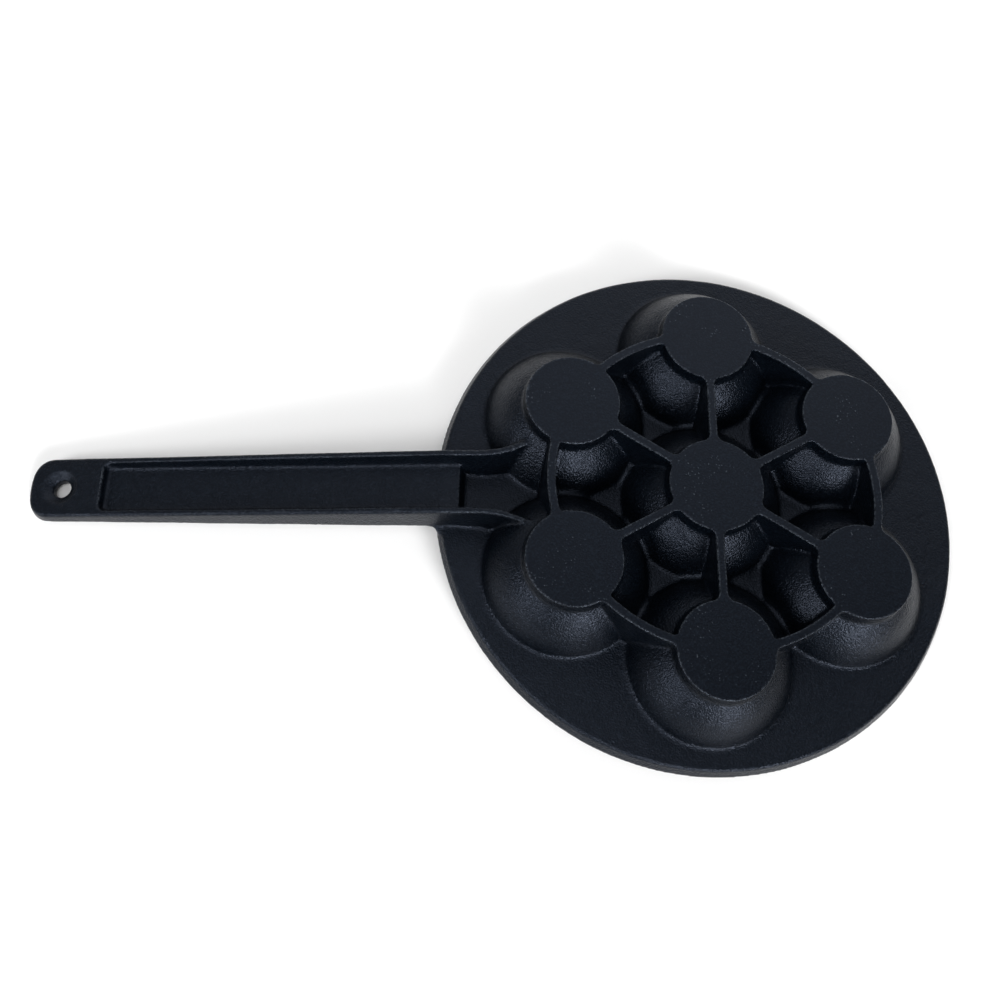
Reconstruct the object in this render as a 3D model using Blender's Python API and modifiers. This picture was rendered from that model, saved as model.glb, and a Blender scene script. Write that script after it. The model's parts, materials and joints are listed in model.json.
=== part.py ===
"""Cast-iron aebleskiver pan, lying upside down as it does on a shelf.

The real pan is one casting: a round plate with seven half-round wells, low webs that tie the wells
together, and a channel-shaped handle. Here the casting is divided into named sections, as a pattern
maker would divide the pattern, with a fine seam between neighbours.

Everything is drawn in the pan's own frame: the origin is on the axis of the centre well, at the
plate's underside, with the undersides of the wells pointing up (+Z) and the handle along -X. The
empty pan_frame then sets the pan down on the far edge of its plate and the end of its handle.
"""

import math

import bmesh
import bpy
from mathutils import Vector

# Driving dimensions, in metres

SEAM = 0.0003  # gap between neighbouring sections of the casting
CUT_OVERRUN = 0.004  # how far a cutter reaches past the surface that it opens

PLATE_RADIUS = 0.1050  # at the underside
PLATE_THICKNESS = 0.0052
PLATE_MARGIN = 0.00915  # from the outer wells' feet to the plate's edge
PLATE_FLARE = 0.0016  # the rim is this much wider at the cooking face
PLATE_EDGE_ROUND = 0.0014

OUTER_WELL_COUNT = 6
DOME_HEIGHT = 0.0172  # from the plate's underside to the foot of the boss
BOSS_HEIGHT = 0.0052
BOSS_RADIUS = 0.0186  # of the ground face
BOSS_DRAFT = 0.0005  # the boss is this much wider at its foot
WELL_WALL = 0.0045
NECK_WALL = 0.0018  # wall around the well's mouth, inside the plate

RIB_WIDTH = 0.0036
RIB_FLARE_RADIUS = 0.0030  # fillet where a rib runs into a boss

HANDLE_LENGTH = 0.1614  # from the plate's edge to the tip
HANDLE_ROOT_WIDTH = 0.0260
HANDLE_END_WIDTH = 0.0243
HANDLE_END_BOW = 0.0090  # length of the rounded tip
HANDLE_ROOT_RISE = 0.0108  # of the handle's face above the plate's underside, at the plate's edge
HANDLE_FALL = 0.0313  # the face falls by this much from the plate's edge to the tip
HANDLE_ROOT_DEPTH = 0.0131
HANDLE_END_DEPTH = 0.0054
HANDLE_EDGE_ROUND = 0.0007
HANDLE_DRAFT_SHARE = 0.11  # sideways spread of the outer walls, as a share of their depth
TIP_ROUNDNESS_SHARE = 0.8  # exponent of the tip's outline, where 1 would be an ellipse

RECESS_FROM_TIP = 0.0284
RECESS_RAIL = 0.0022  # width of the rails beside the recess, and of the wall at its end
RECESS_CORNER = 0.0025
RECESS_END_DEPTH = 0.0030
RECESS_ROOT_DEPTH = 0.0060
RECESS_DRAFT_SHARE = 0.30

HOLE_FROM_TIP = 0.0118
HOLE_RADIUS = 0.0036
DISH_RADIUS = 0.0068
DISH_DEPTH = 0.0022

ROOT_REACH = 0.0100  # how far the recess's floor runs in over the plate
ROOT_STEP_DRAFT = 0.0020
RAIL_STRAIGHT = 0.0140  # length of a root rail over the plate before it bends outward
RAIL_REACH = 0.0350  # from the plate's edge to the end of a root rail, in the well
RAIL_BEND_RADIUS = 0.0400
RAIL_RISE_SHARE = 0.13  # slope of the root rails' tops

# Fineness of the round shapes

WELL_STEPS = 36
DOME_STEPS = 5
CAVITY_STEPS = 6
PLATE_STEPS = 72
TIP_STEPS = 16
CORNER_STEPS = 3
BEND_STEPS = 6
HOLE_STEPS = 24

# Places that follow from the driving dimensions

DOME_FOOT_RADIUS = (PLATE_RADIUS - PLATE_MARGIN - SEAM) / 3  # three feet and a seam in a row
WELL_PITCH = 2 * DOME_FOOT_RADIUS + SEAM  # from the centre well's axis to each outer well's axis
BOSS_FOOT_RADIUS = BOSS_RADIUS + BOSS_DRAFT
GROUND_HEIGHT = DOME_HEIGHT + BOSS_HEIGHT
DOME_CENTRE = (BOSS_FOOT_RADIUS**2 + DOME_HEIGHT**2 - DOME_FOOT_RADIUS**2) / (2 * DOME_HEIGHT)
DOME_RADIUS = math.hypot(DOME_FOOT_RADIUS, DOME_CENTRE)
CAVITY_RADIUS = DOME_RADIUS - WELL_WALL
MOUTH_RADIUS = math.sqrt(CAVITY_RADIUS**2 - (DOME_CENTRE + PLATE_THICKNESS) ** 2)
NECK_RADIUS = MOUTH_RADIUS + NECK_WALL
RIM_RADIUS = PLATE_RADIUS + PLATE_FLARE
TIP_X = -PLATE_RADIUS - HANDLE_LENGTH
RECESS_X = TIP_X + RECESS_FROM_TIP
STEP_ANGLE = math.tau / OUTER_WELL_COUNT
OUTER_WELL_ANGLES = [STEP_ANGLE * (k + 0.5) for k in range(OUTER_WELL_COUNT)]

# The scene, its two collections and the pan's own frame

for leftover in list(bpy.data.objects):
    bpy.data.objects.remove(leftover, do_unlink=True)
pan = bpy.data.collections.new("aebleskiver_pan")
cutters = bpy.data.collections.new("cutters")
for collection in (pan, cutters):
    bpy.context.scene.collection.children.link(collection)
pan_frame = bpy.data.objects.new("pan_frame", None)
bpy.context.scene.collection.objects.link(pan_frame)


def iron(name, colour, roughness):
    """Black seasoned cast iron."""
    material = bpy.data.materials.new(name)
    material.use_nodes = True
    shader = material.node_tree.nodes["Principled BSDF"]
    shader.inputs["Base Color"].default_value = (*colour, 1)
    shader.inputs["Roughness"].default_value = roughness
    shader.inputs["Metallic"].default_value = 0.6
    return material


def add_section(name, mesh, material, location=(0, 0, 0)):
    obj = bpy.data.objects.new(name, mesh)
    obj.parent = pan_frame
    obj.location = location
    if not mesh.materials:
        mesh.materials.append(material)
    pan.objects.link(obj)
    return obj


def add_cutter(name, mesh, location=(0, 0, 0)):
    obj = bpy.data.objects.new(name, mesh)
    obj.parent = pan_frame
    obj.location = location
    obj.display_type = "WIRE"
    obj.hide_render = True
    cutters.objects.link(obj)
    return obj


def cut(obj, cutter, operation="DIFFERENCE"):
    boolean = obj.modifiers.new(cutter.name, "BOOLEAN")
    boolean.operation = operation
    boolean.solver = "EXACT"
    boolean.object = cutter


def shade_smooth(obj):
    """Shades an edged section smooth while its large faces stay flat; it comes after the cuts."""
    obj.data.shade_smooth()
    shading = obj.modifiers.new("shading", "WEIGHTED_NORMAL")
    shading.weight = 100


def round_edges(obj, width):
    bevel = obj.modifiers.new("rounded edges", "BEVEL")
    bevel.width = width
    bevel.segments = 2
    bevel.limit_method = "ANGLE"
    bevel.angle_limit = math.radians(40)


def bake(shape):
    """Turns a curve, or a profile with its modifier, into a mesh and removes the object."""
    pan.objects.link(shape)
    view = bpy.context.evaluated_depsgraph_get()
    mesh = bpy.data.meshes.new_from_object(shape.evaluated_get(view))
    mesh.name = shape.name
    bpy.data.objects.remove(shape, do_unlink=True)
    return mesh


def turned(name, points):
    """Turns a line of (radius, height) points, from the top at the axis down the outer side."""
    profile = bpy.data.meshes.new(name)
    profile.from_pydata(
        [(radius, 0, height) for radius, height in points],
        [(k, k + 1) for k in range(len(points) - 1)],
        [],
    )
    shape = bpy.data.objects.new(name, profile)
    screw = shape.modifiers.new("turn", "SCREW")
    screw.steps = WELL_STEPS
    screw.render_steps = WELL_STEPS
    screw.use_merge_vertices = True
    screw.merge_threshold = 0.00001
    mesh = bake(shape)
    mesh.shade_smooth()
    mesh.set_sharp_from_angle(angle=math.radians(30))
    return mesh


def extruded(name, outline, low, high):
    """Raises a flat outline from one height to another."""
    curve = bpy.data.curves.new(name, "CURVE")
    curve.dimensions = "2D"
    curve.fill_mode = "BOTH"
    curve.extrude = (high - low) / 2
    spline = curve.splines.new("POLY")
    spline.points.add(len(outline) - 1)
    for point, (x, y) in zip(spline.points, outline):
        point.co = (x, y, 0, 1)
    spline.use_cyclic_u = True
    mesh = bake(bpy.data.objects.new(name, curve))
    shape = bmesh.new()
    shape.from_mesh(mesh)
    bmesh.ops.remove_doubles(shape, verts=shape.verts, dist=0.00001)
    bmesh.ops.translate(shape, verts=shape.verts, vec=(0, 0, (low + high) / 2))
    bmesh.ops.recalc_face_normals(shape, faces=shape.faces)
    shape.to_mesh(mesh)
    shape.free()
    return mesh


def cylinder(name, low_radius, high_radius, low, high, steps):
    """A cylinder or a cone between two heights."""
    mesh = bpy.data.meshes.new(name)
    shape = bmesh.new()
    bmesh.ops.create_cone(
        shape, cap_ends=True, segments=steps, radius1=low_radius, radius2=high_radius, depth=high - low
    )
    bmesh.ops.translate(shape, verts=shape.verts, vec=(0, 0, (low + high) / 2))
    shape.to_mesh(mesh)
    shape.free()
    return mesh


def loft(name, lower, upper):
    """A closed body between two rings of as many points, both anticlockwise seen from above."""
    mesh = bpy.data.meshes.new(name)
    shape = bmesh.new()
    bottom = [shape.verts.new(point) for point in lower]
    top = [shape.verts.new(point) for point in upper]
    shape.faces.new(reversed(bottom))
    shape.faces.new(top)
    for k in range(len(lower)):
        after = (k + 1) % len(lower)
        shape.faces.new((bottom[k], bottom[after], top[after], top[k]))
    shape.to_mesh(mesh)
    shape.free()
    return mesh


def polar(radius, angle):
    return radius * math.cos(angle), radius * math.sin(angle)


def mix(start, end, share):
    return start + (end - start) * share


# Wells


def angle_at(height, radius):
    """Angle from a dome's top, seen from its centre, at which it passes a height."""
    return math.acos((height - DOME_CENTRE) / radius)


def dome_arc(radius, start, end, steps):
    """Points of a dome's profile between two angles."""
    angles = [mix(start, end, k / steps) for k in range(steps + 1)]
    return [(radius * math.sin(angle), DOME_CENTRE + radius * math.cos(angle)) for angle in angles]


def well_profile():
    """Ground face, boss wall, dome, neck through the plate, and the hollow for the batter."""
    boss_foot = angle_at(DOME_HEIGHT, DOME_RADIUS)
    points = [(0, GROUND_HEIGHT), (BOSS_RADIUS, GROUND_HEIGHT)]
    points += dome_arc(DOME_RADIUS, boss_foot, angle_at(SEAM, DOME_RADIUS), DOME_STEPS)
    points += [(NECK_RADIUS, SEAM), (NECK_RADIUS, -PLATE_THICKNESS)]
    points += dome_arc(CAVITY_RADIUS, angle_at(-PLATE_THICKNESS, CAVITY_RADIUS), 0, CAVITY_STEPS)
    return points


def well_clearance_profile():
    """The outside of a well, one seam larger all over, for cutting its neighbours."""
    radius = DOME_RADIUS + SEAM
    boss_foot = math.asin((BOSS_FOOT_RADIUS + SEAM) / radius)
    top = GROUND_HEIGHT + CUT_OVERRUN
    points = [(0, top), (BOSS_RADIUS + SEAM, top), (BOSS_RADIUS + SEAM, GROUND_HEIGHT)]
    points += dome_arc(radius, boss_foot, angle_at(0, radius), DOME_STEPS)
    points += [(points[-1][0], -CUT_OVERRUN), (0, -CUT_OVERRUN)]
    return points


def well_places():
    """The centre well first, then the outer wells anticlockwise."""
    outer = [polar(WELL_PITCH, angle) for angle in OUTER_WELL_ANGLES]
    return [(x, y, 0) for x, y in [(0, 0)] + outer]


def make_wells(material):
    mesh = turned("well", well_profile())
    names = ["centre_well"] + [f"outer_well_{k + 1}" for k in range(OUTER_WELL_COUNT)]
    for name, place in zip(names, well_places()):
        add_section(name, mesh, material, place)


def make_well_clearances():
    mesh = turned("well_clearance", well_clearance_profile())
    return [add_cutter(f"well_clearance_{k}", mesh, place) for k, place in enumerate(well_places())]


# Plate


def make_plate(material):
    mesh = cylinder("griddle_plate", RIM_RADIUS, PLATE_RADIUS, -PLATE_THICKNESS, 0, PLATE_STEPS)
    plate = add_section("griddle_plate", mesh, material)
    round_edges(plate, PLATE_EDGE_ROUND)
    radius = NECK_RADIUS + SEAM
    low = -PLATE_THICKNESS - CUT_OVERRUN
    opening = turned("opening", [(0, CUT_OVERRUN), (radius, CUT_OVERRUN), (radius, low), (0, low)])
    for k, place in enumerate(well_places()):
        cut(plate, add_cutter(f"plate_opening_{k}", opening, place))
    shade_smooth(plate)


# Ribs


def rib_outline(length):
    """A rib along +X between two bosses, with a fillet into each, anticlockwise."""
    boss = BOSS_RADIUS + SEAM
    side = RIB_WIDTH / 2
    centre_y = side + RIB_FLARE_RADIUS
    centre_x = math.sqrt((boss + RIB_FLARE_RADIUS) ** 2 - centre_y**2)
    start = math.pi + math.atan2(centre_y, centre_x)
    fillet = []
    for k in range(CORNER_STEPS + 1):
        x, y = polar(RIB_FLARE_RADIUS, mix(start, 1.5 * math.pi, k / CORNER_STEPS))
        fillet.append((centre_x + x, centre_y + y))
    middle = [(mix(centre_x, length - centre_x, k / BEND_STEPS), side) for k in range(1, BEND_STEPS)]
    upper = fillet + middle + [(length - x, y) for x, y in reversed(fillet)]
    return [(x, -y) for x, y in upper] + upper[::-1]


def make_rib(name, outline, wells, material):
    rib = add_section(name, extruded(name, outline, SEAM, GROUND_HEIGHT), material)
    for well in wells:
        cut(rib, well)


def make_spoke_ribs(clearances, material):
    """Straight webs from the centre well to each outer well."""
    for k, angle in enumerate(OUTER_WELL_ANGLES):
        cosine, sine = polar(1, angle)
        outline = [(x * cosine - y * sine, x * sine + y * cosine) for x, y in rib_outline(WELL_PITCH)]
        make_rib(f"spoke_rib_{k + 1}", outline, (clearances[0], clearances[k + 1]), material)


def make_ring_ribs(clearances, material):
    """Webs between neighbouring outer wells, bent to the circle through the wells' axes."""
    for k, angle in enumerate(OUTER_WELL_ANGLES):
        straight = rib_outline(WELL_PITCH * STEP_ANGLE)
        outline = [polar(WELL_PITCH - y, angle + x / WELL_PITCH) for x, y in straight]
        following = (k + 1) % OUTER_WELL_COUNT
        wells = (clearances[k + 1], clearances[following + 1])
        make_rib(f"ring_rib_{k + 1}", outline, wells, material)


# Handle


def root_share(x):
    """0 at the handle's tip, 1 at the plate's edge."""
    return (x - TIP_X) / HANDLE_LENGTH


def face_height(x):
    """The handle's upper face, which falls towards the tip."""
    return HANDLE_ROOT_RISE - HANDLE_FALL * (1 - root_share(x))


def handle_depth(x):
    return mix(HANDLE_END_DEPTH, HANDLE_ROOT_DEPTH, root_share(x))


def recess_depth(x):
    return mix(RECESS_END_DEPTH, RECESS_ROOT_DEPTH, root_share(x))


def half_width(x):
    """Half the width of the handle's upper face."""
    return mix(HANDLE_END_WIDTH, HANDLE_ROOT_WIDTH, root_share(x)) / 2


def blank_ring(draft_share):
    """The handle's outline, anticlockwise, let out by a share of the depth at each end."""
    root_x = -PLATE_RADIUS
    root_y = half_width(root_x) + HANDLE_ROOT_DEPTH * draft_share
    bow = HANDLE_END_BOW + HANDLE_END_DEPTH * draft_share
    end_y = half_width(TIP_X) + HANDLE_END_DEPTH * draft_share
    ring = [(root_x, -root_y), (root_x, root_y)]
    for k in range(TIP_STEPS + 1):
        cosine, sine = polar(1, math.pi * (0.5 + k / TIP_STEPS))
        along = bow * abs(cosine) ** TIP_ROUNDNESS_SHARE
        across = end_y * math.copysign(abs(sine) ** TIP_ROUNDNESS_SHARE, sine)
        ring.append((TIP_X + HANDLE_END_BOW - along, across))
    return ring


def handle_blank(name):
    """The whole bar of the handle, before the recess and the hole are cut."""
    lower = [(x, y, face_height(x) - handle_depth(x)) for x, y in blank_ring(HANDLE_DRAFT_SHARE)]
    upper = [(x, y, face_height(x)) for x, y in blank_ring(0)]
    return loft(name, lower, upper)


def recess_ring(draft_share, grow):
    """The recess's outline, anticlockwise, drawn in by a share of its depth and let out by a length."""
    right = CUT_OVERRUN - PLATE_RADIUS
    right_y = half_width(right) - RECESS_RAIL - recess_depth(right) * draft_share + grow
    inset = recess_depth(RECESS_X) * draft_share - grow
    centre_x = RECESS_X + inset + RECESS_CORNER
    centre_y = half_width(RECESS_X) - RECESS_RAIL - inset - RECESS_CORNER
    ring = [(right, -right_y), (right, right_y)]
    quarter = math.pi / 2
    for start, side in ((quarter, 1), (2 * quarter, -1)):
        for k in range(CORNER_STEPS + 1):
            x, y = polar(RECESS_CORNER, start + quarter * k / CORNER_STEPS)
            ring.append((centre_x + x, side * centre_y + y))
    return ring


def make_recess_cutter():
    """The recess along the handle, open towards the plate."""
    lower = [(x, y, face_height(x) - recess_depth(x)) for x, y in recess_ring(RECESS_DRAFT_SHARE, 0)]
    grown = recess_ring(0, CUT_OVERRUN * RECESS_DRAFT_SHARE)
    upper = [(x, y, face_height(x) + CUT_OVERRUN) for x, y in grown]
    return add_cutter("recess", loft("recess", lower, upper))


def make_region_cutter(name, low_x, high_x):
    """A block round a stretch of the handle."""
    mesh = bpy.data.meshes.new(name)
    block = bmesh.new()
    bmesh.ops.create_cube(block, size=1)
    across = HANDLE_ROOT_WIDTH + HANDLE_ROOT_DEPTH
    height = 2 * (HANDLE_FALL + HANDLE_ROOT_DEPTH)
    bmesh.ops.scale(block, verts=block.verts, vec=(high_x - low_x, across, height))
    bmesh.ops.translate(block, verts=block.verts, vec=((low_x + high_x) / 2, 0, 0))
    block.to_mesh(mesh)
    block.free()
    return add_cutter(name, mesh)


def make_hang_hole_cutters():
    """A round dish in the face and a hole through it, square to the sloping face."""
    x = TIP_X + HOLE_FROM_TIP
    slope = math.atan2(HANDLE_FALL, HANDLE_LENGTH)
    radius = (DISH_RADIUS**2 + DISH_DEPTH**2) / (2 * DISH_DEPTH)
    place = Vector((x, 0, face_height(x)))
    upward = Vector((-math.sin(slope), 0, math.cos(slope)))
    ball = bpy.data.meshes.new("dish")
    shape = bmesh.new()
    bmesh.ops.create_uvsphere(shape, u_segments=HOLE_STEPS, v_segments=HOLE_STEPS, radius=radius)
    shape.to_mesh(ball)
    shape.free()
    dish = add_cutter("dish", ball, place + upward * (radius - DISH_DEPTH))
    reach = HANDLE_ROOT_DEPTH
    bar = cylinder("hang_hole", HOLE_RADIUS, HOLE_RADIUS, -reach, reach, HOLE_STEPS)
    hole = add_cutter("hang_hole", bar, place)
    for cutter in (dish, hole):
        cutter.rotation_euler = (0, -slope, 0)
    return dish, hole


def make_handle(material):
    """The dished end and the channel-shaped shank, both cut from one blank."""
    joint = RECESS_X - RECESS_RAIL
    end_region = make_region_cutter("end_region", TIP_X - HANDLE_END_DEPTH, joint - SEAM)
    end = add_section("handle_end", handle_blank("handle_end"), material)
    round_edges(end, HANDLE_EDGE_ROUND)
    cut(end, end_region, "INTERSECT")
    for cutter in make_hang_hole_cutters():
        cut(end, cutter)
    shade_smooth(end)
    radius = RIM_RADIUS + SEAM
    rim = add_cutter(
        "rim_clearance", cylinder("rim_clearance", radius, radius, -HANDLE_FALL, HANDLE_FALL, PLATE_STEPS)
    )
    shank = add_section("handle_shank", handle_blank("handle_shank"), material)
    round_edges(shank, HANDLE_EDGE_ROUND)
    cut(shank, make_region_cutter("shank_region", joint, -PLATE_RADIUS), "INTERSECT")
    cut(shank, rim)
    cut(shank, make_recess_cutter())


def rail_height(x):
    """The root rails' tops, which carry the handle's face on over the plate."""
    return HANDLE_ROOT_RISE + (x + PLATE_RADIUS) * RAIL_RISE_SHARE


def rail_side(x):
    """Distance from the handle's middle to the outer edge of a root rail, which bends out to the well."""
    past = max(0, x + PLATE_RADIUS - RAIL_STRAIGHT)
    return HANDLE_ROOT_WIDTH / 2 + RAIL_BEND_RADIUS - math.sqrt(RAIL_BEND_RADIUS**2 - past**2)


def rail_ring(side, at_foot):
    """Outline of a root rail on one side, anticlockwise, wider at its foot than at its top."""
    start = -RIM_RADIUS - CUT_OVERRUN
    bend = RAIL_STRAIGHT - PLATE_RADIUS
    end = RAIL_REACH - PLATE_RADIUS
    outer = []
    inner = []
    for x in [start] + [mix(bend, end, k / BEND_STEPS) for k in range(BEND_STEPS + 1)]:
        drop = rail_height(x) if at_foot else 0
        outer.append((x, side * (rail_side(x) + drop * HANDLE_DRAFT_SHARE)))
        inner.append((x, side * (rail_side(x) - RECESS_RAIL - drop * RECESS_DRAFT_SHARE)))
    ring = inner + outer[::-1]
    return ring if side > 0 else ring[::-1]


def make_root_rails(clearances, rim_disc, material):
    """Two rails that carry the handle's sides over the plate and into the nearest wells."""
    nearest = OUTER_WELL_COUNT // 2
    for number, side, well in ((1, 1, clearances[nearest]), (2, -1, clearances[nearest + 1])):
        name = f"root_rail_{number}"
        lower = [(x, y, SEAM) for x, y in rail_ring(side, True)]
        upper = [(x, y, rail_height(x)) for x, y in rail_ring(side, False)]
        rail = add_section(name, loft(name, lower, upper), material)
        cut(rail, rim_disc, "INTERSECT")
        cut(rail, well)


def root_ring(end, height):
    """Outline of the block between the root rails, at a height that depends on x."""
    start = -RIM_RADIUS - CUT_OVERRUN
    ring = []
    for x, side in ((start, -1), (end, -1), (end, 1), (start, 1)):
        inset = (rail_height(x) - height(x)) * RECESS_DRAFT_SHARE + SEAM
        ring.append((x, side * (HANDLE_ROOT_WIDTH / 2 - RECESS_RAIL - inset), height(x)))
    return ring


def make_handle_root(rim_disc, material):
    """The block between the root rails that carries the recess's floor on over the plate."""
    end = ROOT_REACH - PLATE_RADIUS
    lower = root_ring(end, lambda x: SEAM)
    upper = root_ring(end - ROOT_STEP_DRAFT, lambda x: rail_height(x) - recess_depth(x))
    root = add_section("handle_root", loft("handle_root", lower, upper), material)
    cut(root, rim_disc, "INTERSECT")


def set_down():
    """Tilts the pan until its far rim and its handle's tip lie level, and centres it on the origin."""
    rim_x = RIM_RADIUS - PLATE_EDGE_ROUND
    tip_x = TIP_X - HANDLE_END_DEPTH * HANDLE_DRAFT_SHARE + HANDLE_EDGE_ROUND
    tip_drop = -PLATE_THICKNESS - (face_height(tip_x) - handle_depth(tip_x))
    pan_frame.rotation_euler = (0, math.atan2(tip_drop, rim_x - tip_x), 0)
    view = bpy.context.evaluated_depsgraph_get()
    points = []
    for section in pan.objects:
        solid = section.evaluated_get(view)
        points += [solid.matrix_world @ vertex.co for vertex in solid.data.vertices]
    middle = (min(point.x for point in points) + max(point.x for point in points)) / 2
    pan_frame.location = (-middle, 0, -min(point.z for point in points))


well_clearances = make_well_clearances()
rim_disc = add_cutter(
    "rim_disc", cylinder("rim_disc", RIM_RADIUS, RIM_RADIUS, 0, GROUND_HEIGHT, PLATE_STEPS)
)
make_plate(iron("plate_iron", (0.013, 0.016, 0.021), 0.55))
make_wells(iron("well_iron", (0.016, 0.020, 0.026), 0.45))
rib_iron = iron("rib_iron", (0.014, 0.018, 0.024), 0.5)
make_spoke_ribs(well_clearances, rib_iron)
make_ring_ribs(well_clearances, rib_iron)
handle_iron = iron("handle_iron", (0.011, 0.014, 0.018), 0.5)
make_handle(handle_iron)
make_root_rails(well_clearances, rim_disc, handle_iron)
make_handle_root(rim_disc, handle_iron)
set_down()
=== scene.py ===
import json
import math

import bmesh
import bpy
import numpy as np
from mathutils import Matrix, Vector, noise


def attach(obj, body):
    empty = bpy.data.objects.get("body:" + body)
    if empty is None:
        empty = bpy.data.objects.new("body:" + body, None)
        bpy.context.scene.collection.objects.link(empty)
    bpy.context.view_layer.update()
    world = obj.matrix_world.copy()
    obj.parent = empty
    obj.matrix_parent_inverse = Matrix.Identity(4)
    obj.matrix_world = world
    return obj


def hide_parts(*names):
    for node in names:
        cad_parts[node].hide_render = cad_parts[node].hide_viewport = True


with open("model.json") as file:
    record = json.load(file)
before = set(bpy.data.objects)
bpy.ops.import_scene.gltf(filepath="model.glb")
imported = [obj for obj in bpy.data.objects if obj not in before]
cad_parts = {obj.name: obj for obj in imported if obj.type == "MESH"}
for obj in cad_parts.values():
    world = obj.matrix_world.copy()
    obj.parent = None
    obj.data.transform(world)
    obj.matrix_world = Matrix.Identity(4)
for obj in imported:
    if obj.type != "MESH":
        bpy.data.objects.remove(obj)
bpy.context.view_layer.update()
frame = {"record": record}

scene = bpy.context.scene
scene.view_settings.view_transform = "Standard"

# How the pan lies
# The pan is upside down, resting on the far edge of its plate and on the end of its handle, so its ground
# faces lean by a few degrees. The pan's sizes are in millimetres in the casting's own frame: the origin is on
# the middle well's axis at the plate's underside, the wells rise along +Z and the handle runs along -X.

MM = 0.001
GROUND_HEIGHT = 22.4  # of the ground faces above the plate's underside

mount = next(mount for mount in frame["record"]["mounts"] if mount["name"] == "ground_face")
upward = Vector(mount["axis"]).normalized()
along = Vector((upward.z, 0, -upward.x))
across = upward.cross(along)
origin = Vector(mount["pos_m"]) - upward * GROUND_HEIGHT * MM
lying = Matrix.Translation(origin) @ Matrix((along, across, upward)).transposed().to_4x4()

# Camera
# It stands beside the handle and looks down on the pan, as the photographer did.

CAMERA_PLACE = (-119.4, -142.7, 376.4)
CAMERA_AIM = (-81.1, -2.7, 0)
CAMERA_ROLL = math.radians(0.908)
LENS = 36.81  # on a sensor 36 mm wide

forward = (Vector(CAMERA_AIM) - Vector(CAMERA_PLACE)).normalized()
level = forward.cross(Vector((0, 1, 0))).normalized()
raised = level.cross(forward)
rightward = level * math.cos(CAMERA_ROLL) + raised * math.sin(CAMERA_ROLL)
turned_to = Matrix((rightward, rightward.cross(forward), -forward)).transposed().to_4x4()
camera = bpy.data.objects.new("camera", bpy.data.cameras.new("camera"))
camera.data.lens = LENS
camera.matrix_world = lying @ Matrix.Translation(Vector(CAMERA_PLACE) * MM) @ turned_to
scene.collection.objects.link(camera)
scene.camera = camera

# White studio
# A white floor under a dim tent that is lighter behind the pan, with soft lamps round it: two bright ones in
# front, right and left, one overhead, and a wide faint one high up behind, which the ground faces mirror.

FLOOR_SIZE = 4.0  # metres
FLOOR_COLOUR = "#F8F8F8"
FLOOR_ROUGHNESS = 0.9
FLOOR_LIFT = 0.05  # extra white that no light falls from, so that the shadow stays soft
TENT_LEVELS = (0.05, 0.42)  # times white, in front and behind
TENT_FADE = (0.0, 0.5)  # the northward share of a direction where it starts and ends
FRONT_FADE = ((0.90, 0.0), (0.96, 0.02), (0.985, 0.12), (0.994, 0.6), (0.998, 1.0))
LAMPS = (  # (azimuth and height in degrees, times white in the middle, fade by the cosine from there)
    (-64, 27, 43.0, FRONT_FADE),
    (-143, 34, 25.0, FRONT_FADE),
    (-105, 72, 2.6, ((0.93, 0.0), (0.97, 1.0))),
    (75, 39, 0.90, ((0.76, 0.0), (0.95, 1.0))),
)


def hex_colour(code):
    """An sRGB hex code as a linear colour with alpha."""
    parts = [int(code[k:k + 2], 16) / 255 for k in (1, 3, 5)]
    return (*[c / 12.92 if c <= 0.04045 else ((c + 0.055) / 1.055) ** 2.4 for c in parts], 1)


def add_node(tree, kind, inputs=None, **settings):
    """Adds a node, gives it its settings, and fills or links its sockets."""
    added = tree.nodes.new(kind)
    for name, value in settings.items():
        setattr(added, name, value)
    for socket, value in (inputs or {}).items():
        if isinstance(value, bpy.types.NodeSocket):
            tree.links.new(value, added.inputs[socket])
        else:
            added.inputs[socket].default_value = value
    return added


world = bpy.data.worlds.new("tent")
scene.world = world
world.use_nodes = True
tree = world.node_tree
tree.nodes.clear()
direction = add_node(tree, "ShaderNodeTexCoord").outputs["Generated"]
northward = add_node(tree, "ShaderNodeSeparateXYZ", {"Vector": direction}).outputs["Y"]
glow = add_node(
    tree,
    "ShaderNodeMapRange",
    {
        "Value": northward,
        "From Min": TENT_FADE[0],
        "From Max": TENT_FADE[1],
        "To Min": TENT_LEVELS[0],
        "To Max": TENT_LEVELS[1],
    },
)
for azimuth, height, brightness, lamp_fade in LAMPS:
    lamp_way = Vector((math.cos(math.radians(height)), 0, math.sin(math.radians(height))))
    lamp_way.rotate(Matrix.Rotation(math.radians(azimuth), 3, "Z"))
    nearness = add_node(tree, "ShaderNodeVectorMath", {0: direction, 1: lamp_way}, operation="DOT_PRODUCT")
    lamp = add_node(tree, "ShaderNodeValToRGB", {"Fac": nearness.outputs["Value"]})
    for cosine, _ in lamp_fade[1:-1]:
        lamp.color_ramp.elements.new(cosine)
    for stop, (cosine, share) in zip(lamp.color_ramp.elements, lamp_fade):
        stop.position = cosine
        stop.color = (share, share, share, 1)
    glow = add_node(
        tree,
        "ShaderNodeMath",
        {0: lamp.outputs["Color"], 1: brightness, 2: glow.outputs[0]},
        operation="MULTIPLY_ADD",
    )
tent = add_node(tree, "ShaderNodeBackground", {"Color": (1, 1, 1, 1), "Strength": glow.outputs[0]})
white = add_node(tree, "ShaderNodeBackground", {"Color": (1, 1, 1, 1)})
ray = add_node(tree, "ShaderNodeLightPath").outputs["Is Camera Ray"]
shown = add_node(tree, "ShaderNodeMixShader", {0: ray, 1: tent.outputs[0], 2: white.outputs[0]})
add_node(tree, "ShaderNodeOutputWorld", {"Surface": shown.outputs[0]})

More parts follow.
